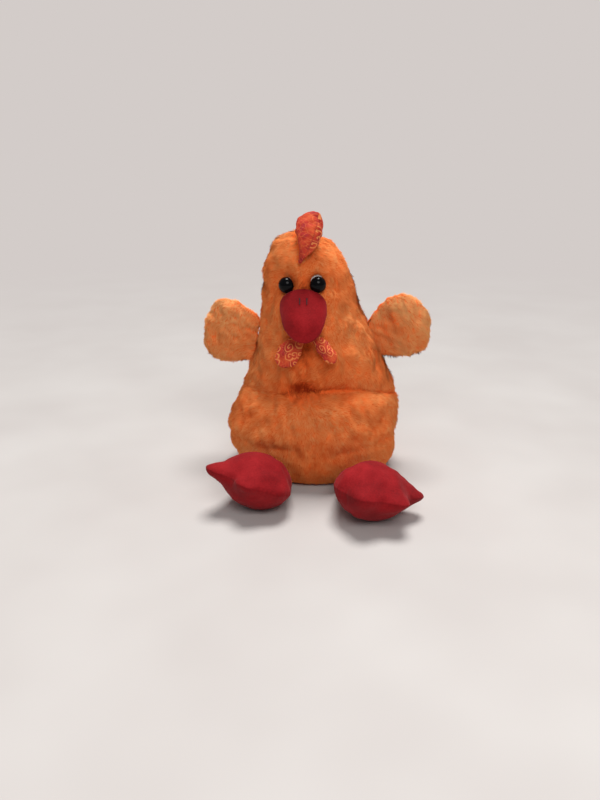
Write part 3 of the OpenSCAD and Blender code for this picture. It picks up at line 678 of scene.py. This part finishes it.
def body_flow():
    around = unit(np.roll(BODY, -1, 1) - np.roll(BODY, 1, 1))
    down = unit(np.cross(around, BODY_N)) * 1.0
    down[0], down[-1] = Y, Y
    turn = 0.55 * waves(BODY, 42, 11) + 0.3 * waves(BODY, 16, 12)
    flow = down * np.cos(turn)[..., None] + around * np.sin(turn)[..., None]
    away = BODY - HOLLOW
    away = unit(away - BODY_N * (away * BODY_N).sum(-1, keepdims=True))
    front = BODY[..., 1] < 0
    z = BODY[..., 2]
    radial = (ease((WAIST - 1 - z) / 5) * front)[..., None]
    far = np.linalg.norm(BODY - HOLLOW, axis=-1)
    radial = radial * np.clip(1.5 - far / 70, 0.35, 1)[..., None]
    flow = unit(flow * (1 - radial) + away * radial * 1.3)
    for eye in EYES.values():
        out = BODY - eye
        out = unit(out - BODY_N * (out * BODY_N).sum(-1, keepdims=True))
        close = bell(np.linalg.norm(BODY - eye, axis=-1), 11.0)[..., None]
        flow = unit(flow * (1 - close) + out * close)
    return flow


def body_fur():
    x, y, z = BODY[..., 0], BODY[..., 1], BODY[..., 2]
    length = 3.3 + 0.3 * waves(BODY, 30, 21)
    for eye in EYES.values():
        length = length * (1 - 0.45 * bell(np.linalg.norm(BODY - eye, axis=-1), 9.0))
    length = length * (0.55 + 0.45 * ease(z / 8))
    # This field holds the pile's random tone and also the painted shade added below.
    tint = 0.56 + 0.05 * waves(BODY, 55, 22) + 0.03 * waves(BODY, 12, 23)
    a = np.broadcast_to(AZIMUTH, x.shape)
    front = ease((100 - np.abs(a)) / 22)
    d = z - np.interp(a, CREASE_A, CREASE_Z)
    front = front * np.interp(a, CREASE_FADE_A, CREASE_FADE)
    # Painted shade: the pile is darker along the waist crease.
    tint = tint - 0.3 * bell(d, 1.5) * front
    # Painted shade: darker in the hollow at the front of the waist, and in a softer dip to its right.
    tint = tint - 0.6 * bell(x - HOLLOW[0], 15) * bell(z - HOLLOW[2], 8) * (y < 0)
    tint = tint - 0.22 * bell(x - 24, 11) * bell(z - HOLLOW[2] + 3, 7) * (y < 0)
    # Painted shade: darker just above the beak, between the eyes.
    brow_shade = bell(x - (BEAK_LOW[0] + BEAK_HIGH[0]) / 2, 6) * bell(z - BEAK_HIGH[2] - 3, 7)
    tint = tint - 0.35 * brow_shade * (y < 0)
    # Painted shade: darker under the beak.
    tint = tint - 0.35 * bell(x + 10, 12) * bell(z - 110, 12) * (y < 0)
    density = np.full(x[:-1].shape, STRANDS)
    density[BODY_N[:-1, :, 2] < -0.93] = 0
    return grow(BODY, BODY_N, body_flow(), length, tint, density, 31)


fur = body_fur()
keep = clear_of(fur)
angle = AZIMUTH[fur["column"]]
height = fur["root"][:, 2]
crease = np.interp(angle, CREASE_A, CREASE_Z)
past_seam = fur["root"][:, 0] > -2.8 - 6.5 * ease((height - 60) / 60)
regions = {
    "face": (np.abs(angle) < 90) & (height >= crease),
    "belly": (np.abs(angle) < 90) & (height < crease),
    "back": np.abs(angle) >= 90,
}
for region, inside in regions.items():
    for side, half in (("left", angle >= 0), ("right", angle < 0)):
        if region != "back":
            half = past_seam == (side == "left")
        mine = keep & inside & half
        pile = strand_mesh(f"{side}_{region}_pile", fur, mine)
        dress(pile, PILE, "body", "orange_plush", f"{side}_{region}_panel")


# ---- wings -------------------------------------------------------------------------------------

def make_wing(side, seed):
    body = side + "_wing"
    limb = Limb(body, body + "_front", body + "_back")
    length = limb.high[0]
    middle = (length * 0.5, 0.0)
    grid, _, _, seam = cushion(limb, middle, rows=30, columns=170, crest=1.06,
                                     fade=length * 0.5, thin=0.42, inset=PILE_DEPTH * 0.9)
    grid[..., 0] -= 6.5 * (1 - ease(grid[..., 0] / 13))
    p = limb.world(grid)
    n = grid_normals(p)
    p = p + n * (0.7 * waves(p, 22, seed) + 0.35 * waves(p, 8, seed + 1) - 0.5 * seam)[..., None]
    p[0], p[-1] = p[0].mean(0), p[-1].mean(0)
    n = grid_normals(p)
    cloth = closed_form(body + "_cloth", p)
    dress(cloth, BACKING, body, "orange_plush", body + "_stuffing")
    flow = 0.55 * limb.u - 0.9 * Z + 0 * p
    flow = flow - n * (flow * n).sum(-1, keepdims=True)
    turn = 0.5 * waves(p, 22, seed + 2)
    flow = flow * np.cos(turn)[..., None] + np.cross(n, flow) * np.sin(turn)[..., None]
    size = 3.4 + 0.3 * waves(p, 20, seed + 3)
    # Painted light and shade: the wing's pile is tinted lighter than the body's and lighter still towards its
    # top, and darker at its root against the body.
    tint = 0.78 + 0.06 * waves(p, 25, seed + 4) + 0.18 * ease((p[..., 2] - limb.o[2]) / 25)
    tint = tint - 0.12 * bell(grid[..., 0], 10)
    density = np.full(p[:-1, :, 0].shape, STRANDS)
    fur = grow(p, n, flow, size, tint, density, seed + 5)
    keep = (fur["root"] - limb.o) @ limb.u > -4.5
    pile = strand_mesh(body + "_pile", fur, keep)
    dress(pile, PILE, body, "orange_plush", body + "_front", body + "_back")


make_wing("left", 100)
make_wing("right", 140)


# ---- feet --------------------------------------------------------------------------------------

FOOT_REACH = {"left": 40.0, "right": 29.0}      # hinge to the middle of the pad
TOE_TURN = {"left": 38, "right": 6}             # the middle toe's turn towards +X, in degrees
TOE_STEPS = (-52, 0, 52)
TOE_LENGTHS = {"left": (5.5, 9.0, 11.5), "right": (12.0, 6.0, 3.5)}


def make_foot(side, seed):
    body = side + "_foot"
    limb = Limb(body, body + "_top", body + "_sole")
    way = np.sign(limb.v[0])
    reach, turn = FOOT_REACH[side], TOE_TURN[side]
    toes = [(way * (turn + step), size) for step, size in zip(TOE_STEPS, TOE_LENGTHS[side])]
    grid, theta, phi, seam = cushion(limb, (reach, 0.0), rows=44, columns=300, crest=1.1,
                                     fade=reach, toes=toes)
    p = limb.world(grid)
    n = grid_normals(p)
    pucker = bell(phi, math.radians(12)) * np.sin(theta * 46 + 2 * waves(p, 20, seed))
    wrinkle = 0.35 * waves(p, 11, seed + 1) + 0.9 * waves(p, 30, seed + 2)
    move = wrinkle * 0.7 + 0.1 * pucker + 0.25 * seam
    p = p + n * move[..., None]
    p[..., 2] = np.maximum(p[..., 2], 0.05)
    p[0], p[-1] = p[0].mean(0), p[-1].mean(0)
    piece = closed_form(body + "_pad", p, seam=0.12 * seam)
    dress(piece, VELOUR, body, "red_velour", body + "_top", body + "_sole", body + "_stuffing")


make_foot("left", 200)
make_foot("right", 220)


# ---- comb and wattles --------------------------------------------------------------------------

def make_printed(body, top, sole, stuffing, middle, fade, bend, seed, name, twist=0.0, fat=1.0,
                 squeeze=1.0, slim=1.0, shift=0.0):
    limb = Limb(body, top, sole)
    grid, theta, phi, seam = cushion(limb, middle, rows=26, columns=150, crest=1.1, fade=fade)
    flat = np.stack([grid[..., 0], grid[..., 1] * squeeze, np.where(phi > 0, 0.0, 40.0)], -1) * MM
    flat[..., 0] += np.where(phi > 0, 0, 0.05)
    grid = grid.copy()
    grid[..., 2] = fat * grid[..., 2] + bend * ((grid[..., 0] / limb.high[0]) ** 2)
    turn = math.radians(twist)
    across, out = slim * (grid[..., 1] - middle[1]), grid[..., 2].copy()
    grid[..., 1] = middle[1] + across * math.cos(turn) - out * math.sin(turn)
    grid[..., 2] = across * math.sin(turn) + out * math.cos(turn)
    p = limb.world(grid) + [shift, 0, 0]
    n = grid_normals(p)
    pucker = bell(phi, math.radians(18)) * np.sin(theta * 30 + 2 * waves(p, 9, seed))
    move = 0.3 * waves(p, 7, seed + 1) + 0.12 * pucker - 0.2 * seam
    p = p + n * move[..., None]
    p[0], p[-1] = p[0].mean(0), p[-1].mean(0)
    piece = closed_form(name, p, seam=0.4 * seam, flat=flat)
    dress(piece, PRINT, body, "printed_cotton", top, sole, stuffing)


COMB_TWIST = 3.0         # degrees about its own length
COMB_FAT = 1.75          # thickness as a share of the CAD comb's
LEFT_WATTLE_SLIM = 0.68  # widths as shares of the CAD wattles'
RIGHT_WATTLE_SLIM = 0.9
make_printed("comb", "comb_left_panel", "comb_right_panel", "comb_stuffing", (8.5, -2.0), 10.0,
             1.5, 300, "comb_leaf", twist=COMB_TWIST, fat=COMB_FAT, squeeze=0.75, shift=1.2)
make_printed("left_wattle", "left_wattle_front", "left_wattle_back", "left_wattle_stuffing",
             (14.0, 0.0), 15.0, 1.0, 320, "left_wattle_lobe", slim=LEFT_WATTLE_SLIM)
make_printed("right_wattle", "right_wattle_front", "right_wattle_back", "right_wattle_stuffing",
             (15.0, 0.0), 16.0, -0.5, 340, "right_wattle_lobe", slim=RIGHT_WATTLE_SLIM)


# ---- beak --------------------------------------------------------------------------------------

BEAK_DROOP = math.radians(38)
BEAK_LENGTH = 26.5
BEAK_WAYS = np.array([0.0, -math.cos(BEAK_DROOP), -math.sin(BEAK_DROOP)])
beak_mid_x = (BEAK_LOW[0] + BEAK_HIGH[0]) / 2
beak_half = (BEAK_HIGH[0] - BEAK_LOW[0]) / 2
beak_seam_z = box("beak_under_panel")[1][2]
beak_rise = BEAK_HIGH[2] - beak_seam_z
FACE_TREE = tree_of("left_face_panel", "right_face_panel")


def face_y(x, z):
    hits = [FACE_TREE.ray_cast(Vector((x + d, -160, z)), Vector((0, 1, 0)))[0]
            for d in (-0.9, 0.0, 0.9)]
    return min([hit[1] for hit in hits if hit] + [0.0])


def beak_grid(rows=44, columns=150):
    root = np.array([beak_mid_x, face_y(beak_mid_x, beak_seam_z), beak_seam_z])
    theta = np.linspace(0, 2 * math.pi, columns, endpoint=False)
    tall = np.where(np.sin(theta) > 0, beak_rise, 12.0)
    rim = np.stack([beak_mid_x + beak_half * np.cos(theta), 0 * theta,
                    beak_seam_z + tall * np.sin(theta)], -1)
    rim[:, 1] = [face_y(x, z) - 0.4 for x, _, z in rim]
    t = np.linspace(0, math.pi / 2, rows)[:, None, None]
    dome = root + (rim - root)[None] * np.cos(t) ** 0.75 + BEAK_WAYS * BEAK_LENGTH * np.sin(t)
    back = [root + (rim - root)[None] * k + Y * 2.5 * (1 - k ** 6)
            for k in np.linspace(0, 1, 8)[:-1]]
    return np.concatenate([np.concatenate(back), dome]), theta, 7


beak, beak_theta, beak_back = beak_grid()
beak = beak[:, ::-1]
beak_theta = beak_theta[::-1]
beak_n = grid_normals(beak)
beak_level = np.broadcast_to(np.sin(beak_theta), beak.shape[:2])
beak_t = (np.arange(len(beak)) - beak_back)[:, None] / (len(beak) - beak_back - 1) + 0 * beak_level
beak_seam = bell(beak_level, 0.035) * (beak_t > 0)
beak_move = 0.15 * waves(beak, 20, 401) + 0.04 * waves(beak, 7, 402) - 0.05 * beak_seam
beak_move = beak_move * ease(beak_t * 6)
nostrils = box("nostril_stitches")
nostril_z = (nostrils[0][2] + nostrils[1][2]) / 2
nostril_x = ((nostrils[0][0] + 0.4), (nostrils[1][0] - 0.4))
for nx in nostril_x:
    d = np.hypot((beak[..., 0] - nx) / 0.9, (beak[..., 2] - nostril_z) / 2.0)
    beak_move = beak_move - 1.0 * bell(d, 1.0) * (beak_t > 0)
beak = beak + beak_n * beak_move[..., None]
beak[0], beak[-1] = beak[0].mean(0), beak[-1].mean(0)
beak_pad = closed_form("beak_pad", beak, seam=0.1 * beak_seam)
dress(beak_pad, BEAK_VELOUR, "body", "red_velour", "beak_top_panel", "beak_under_panel",
      "beak_stuffing")


# ---- eyes, stitches and inner pieces -------------------------------------------------------------

def lathe(profile, columns=64):
    """Rings about +Z through (radius, height) pairs."""
    t = np.linspace(0, 2 * math.pi, columns, endpoint=False)
    return np.array([[[r * math.cos(a), r * math.sin(a), h] for a in t] for r, h in profile])


def turned(points, origin, direction):
    turn = np.array(Vector(direction).to_track_quat("Z", "Y").to_matrix())
    return points @ turn.T + origin


EYE_DROP = {"left": -1.2, "right": -2.2}    # the domes sit this much off their CAD nodes


def make_eye(side):
    node = side + "_eye"
    p = points_of(node)
    washer = points_of(side + "_eye_washer").mean(0)
    # the dome's top is the point farthest from the washer, so the axis runs through both
    dome_top = p[np.argmax(np.linalg.norm(p - washer, axis=1))]
    ring = [q for q in p if 5.6 < np.linalg.norm(np.cross(q - washer, unit(dome_top - washer))) < 6.4]
    centre = np.mean(ring, 0)
    axis = unit(centre - washer)
    along = (p - centre) @ axis
    flat = np.linalg.norm((p - centre) - along[:, None] * axis, axis=1)
    radius = flat.max()
    base = along[flat > radius - 0.05].min()
    top = along.max()
    flange = 0.8
    dome = top - base - flange
    ball = (radius ** 2 + dome ** 2) / (2 * dome)
    reach = math.asin(min(1, radius / ball))
    profile = [(0, along.min()), (1.6, along.min()), (1.6, base), (radius - 0.3, base),
               (radius, base + 0.25), (radius, base + flange)]
    profile += [(ball * math.sin(reach * (1 - t)), top - ball * (1 - math.cos(reach * (1 - t))))
                for t in np.linspace(0.02, 1, 30)]
    drop = EYE_DROP[side] * Z
    piece = closed_form(side + "_eye_dome", turned(lathe(profile), centre + drop, axis))
    dress(piece, BLACK, "body", "black_plastic", node)


make_eye("left")
make_eye("right")


def thread(name, path, radius, material, slot, node=None, body="body"):
    """A short stitch of thread along a path in millimetres."""
    curve = bpy.data.curves.new(name, "CURVE")
    curve.dimensions = "3D"
    curve.bevel_depth = radius * MM
    curve.bevel_resolution = 4
    curve.use_fill_caps = True
    for points in path:
        line = curve.splines.new("NURBS")
        line.points.add(len(points) - 1)
        for spot, q in zip(line.points, points):
            spot.co = (*(np.array(q) * MM), 1)
        line.use_endpoint_u = True
        line.order_u = 3
    piece = bpy.data.objects.new(name, curve)
    bpy.context.scene.collection.objects.link(piece)
    dress(piece, material, body, slot, *([node] if node else []))
    return piece


BEAK_TREE = BVHTree.FromObject(beak_pad, bpy.context.evaluated_depsgraph_get())


def beak_surface(x, z):
    hit = BEAK_TREE.ray_cast(Vector((x * MM, -0.16, z * MM)), Vector((0, 1, 0)))
    return (np.array(hit[0]) / MM, np.array(hit[1])) if hit[0] else (np.array([x, -48, z]), -Y)


paths = []
for nx in nostril_x:
    line = []
    for k in np.linspace(-1, 1, 7):
        spot, normal = beak_surface(nx, nostril_z + 1.8 * k)
        line.append(spot + normal * (0.18 - 0.5 * k ** 4))
    paths.append(line)
thread("nostril_threads", paths, 0.42, DARK_THREAD, "dark_thread", "nostril_stitches")

paths = []
low, high = box("closing_stitches")
CLOTH_TREE = BVHTree.FromObject(body_cloth, bpy.context.evaluated_depsgraph_get())
for z in np.linspace(low[2] + 0.4, high[2] - 0.4, 9):
    line = []
    for k in np.linspace(-1, 1, 7):
        x = (low[0] + high[0]) / 2 + 1.6 * k
        hit = CLOTH_TREE.ray_cast(Vector((x * MM, 0.16, z * MM)), Vector((0, -1, 0)))
        spot = np.array(hit[0]) / MM if hit[0] else np.array([x, high[1] - 3, z])
        line.append(spot + Y * (1.6 - 2.2 * k ** 4) + Z * 0.5 * k)
    paths.append(line)
thread("closing_threads", paths, 0.35, ORANGE_THREAD, "orange_thread", "closing_stitches")

for name, material in (("pellet_bag", BAG), ("pellets", PELLET), ("left_eye_washer", WASHER),
                       ("right_eye_washer", WASHER)):
    NODES[name].data.materials.clear()
    NODES[name].data.materials.append(material)


# ---- floor, light and camera ---------------------------------------------------------------------

PAPER = rgb(211, 204, 201)


def make_floor():
    t = np.linspace(0, 2 * math.pi, 96, endpoint=False)
    ring = np.stack([np.cos(t), np.sin(t), 0 * t], -1)
    points = np.concatenate([[[0, 0, 0]]] + [ring * r for r in (300, 800, 1600, 4000)])
    k = np.arange(96)
    faces = [np.stack([0 * k, 1 + k, 1 + (k + 1) % 96], -1)]
    for i in range(3):
        a = 1 + i * 96
        faces.append(np.stack([a + k, a + 96 + k, a + 96 + (k + 1) % 96, a + (k + 1) % 96], -1))
    floor = new_mesh("floor", points, [faces[0], np.concatenate(faces[1:])])
    m = Nodes("floor_paper")
    far = m.vector("LENGTH", m.place())
    m.set(Base_Color=m.ramp(m.noise(9, 2), (0.3, rgb(186, 181, 178)), (0.7, rgb(193, 189, 186))),
          Roughness=0.9, Specular_IOR_Level=0.1)
    seen = m.node("LightPath").outputs["Is Camera Ray"]
    glow = m.node("Emission", {"Color": PAPER, "Strength": 1.0})
    blend = m.node("MixShader", {0: m.math("MULTIPLY", m.range(far, 0.25, 1.1), seen),
                                 1: m.shader.outputs[0], 2: glow.outputs[0]})
    m.tree.links.new(blend.outputs[0], m.tree.nodes["Material Output"].inputs[0])
    floor.data.materials.append(m.mat)


def make_world():
    world = bpy.data.worlds.new("studio")
    bpy.context.scene.world = world
    world.use_nodes = True
    tree = world.node_tree
    tree.nodes.clear()
    out = tree.nodes.new("ShaderNodeOutputWorld")
    light = tree.nodes.new("ShaderNodeBackground")
    light.inputs[0].default_value = (0.96, 0.97, 1.0, 1)
    light.inputs[1].default_value = 0.24
    paper = tree.nodes.new("ShaderNodeBackground")
    paper.inputs[0].default_value = (*PAPER, 1)
    paper.inputs[1].default_value = 1.0
    path = tree.nodes.new("ShaderNodeLightPath")
    mix = tree.nodes.new("ShaderNodeMixShader")
    tree.links.new(path.outputs["Is Camera Ray"], mix.inputs[0])
    tree.links.new(light.outputs[0], mix.inputs[1])
    tree.links.new(paper.outputs[0], mix.inputs[2])
    tree.links.new(mix.outputs[0], out.inputs[0])


def lamp(name, place, target, size, power, colour):
    data = bpy.data.lights.new(name, "AREA")
    data.shape = "DISK"
    data.size = size
    data.energy = power
    data.color = colour
    piece = bpy.data.objects.new(name, data)
    piece.location = place
    aim = Vector(target) - Vector(place)
    piece.rotation_euler = aim.to_track_quat("-Z", "Y").to_euler()
    bpy.context.scene.collection.objects.link(piece)


def sun(name, place, angle, strength, colour):
    data = bpy.data.lights.new(name, "SUN")
    data.angle = math.radians(angle)
    data.energy = strength
    data.color = colour
    piece = bpy.data.objects.new(name, data)
    piece.rotation_euler = (-Vector(place)).to_track_quat("-Z", "Y").to_euler()
    bpy.context.scene.collection.objects.link(piece)


def make_camera():
    """The view: 20 degrees above level, straight along +Y."""
    aim = Vector((-0.0124, 0.0, 0.0538))
    tip = math.radians(20)
    data = bpy.data.cameras.new("view")
    data.sensor_fit = "AUTO"
    data.sensor_width = 36.0
    data.lens = 30.6
    data.clip_start = 0.01
    camera = bpy.data.objects.new("view", data)
    camera.location = aim + 0.56 * Vector((0, -math.cos(tip), math.sin(tip)))
    camera.rotation_euler = (math.radians(90) - tip, 0, 0)
    bpy.context.scene.collection.objects.link(camera)
    bpy.context.scene.camera = camera


make_floor()
make_world()
sun("key", (0.06, 0.22, 1.0), 26.0, 3.3, (1.0, 0.985, 0.97))
lamp("fill", (0.15, -1.0, 1.05), (0, 0, 0.1), 0.7, 7.0, (1.0, 0.98, 0.97))
lamp("glint", (0.35, -0.6, 0.75), (0, 0, 0.14), 0.10, 0.35, (1.0, 1.0, 1.0))
make_camera()
bpy.context.scene.view_settings.view_transform = "Standard"
